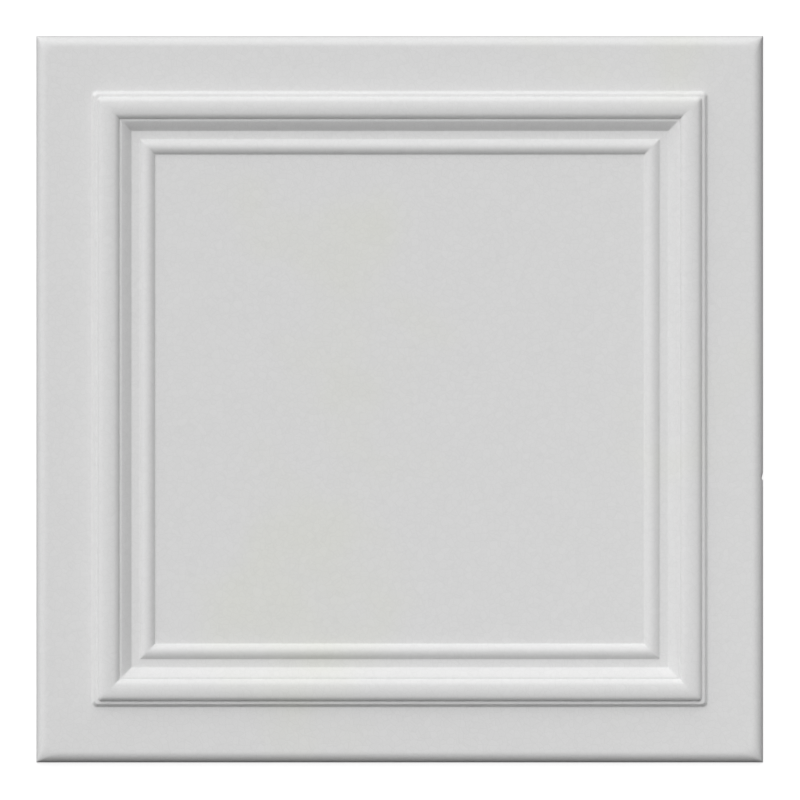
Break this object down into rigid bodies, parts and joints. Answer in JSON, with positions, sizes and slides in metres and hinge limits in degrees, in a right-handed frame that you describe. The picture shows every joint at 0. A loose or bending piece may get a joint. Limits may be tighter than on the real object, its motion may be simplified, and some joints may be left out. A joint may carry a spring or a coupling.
{
  "type": "ceiling tile",
  "caption": "Square moulded foam ceiling tile: rounded edge, plain border and a mitred frame moulding round a flat sunk field, with a flat back that is glued to the ceiling.",
  "frame": {"origin": "centre of the flat back, on the plane that is glued to the ceiling", "axes": "+Z out of the moulded face, +X to the right and +Y up as the picture shows the face"},
  "size_m": [0.5, 0.5, 0.0154],
  "materials": {
    "white_foam": "matt skin of pressed white polystyrene foam"
  },
  "bodies": {
    "root": {"ceiling_tile": "white_foam"}
  },
  "joints": []
}
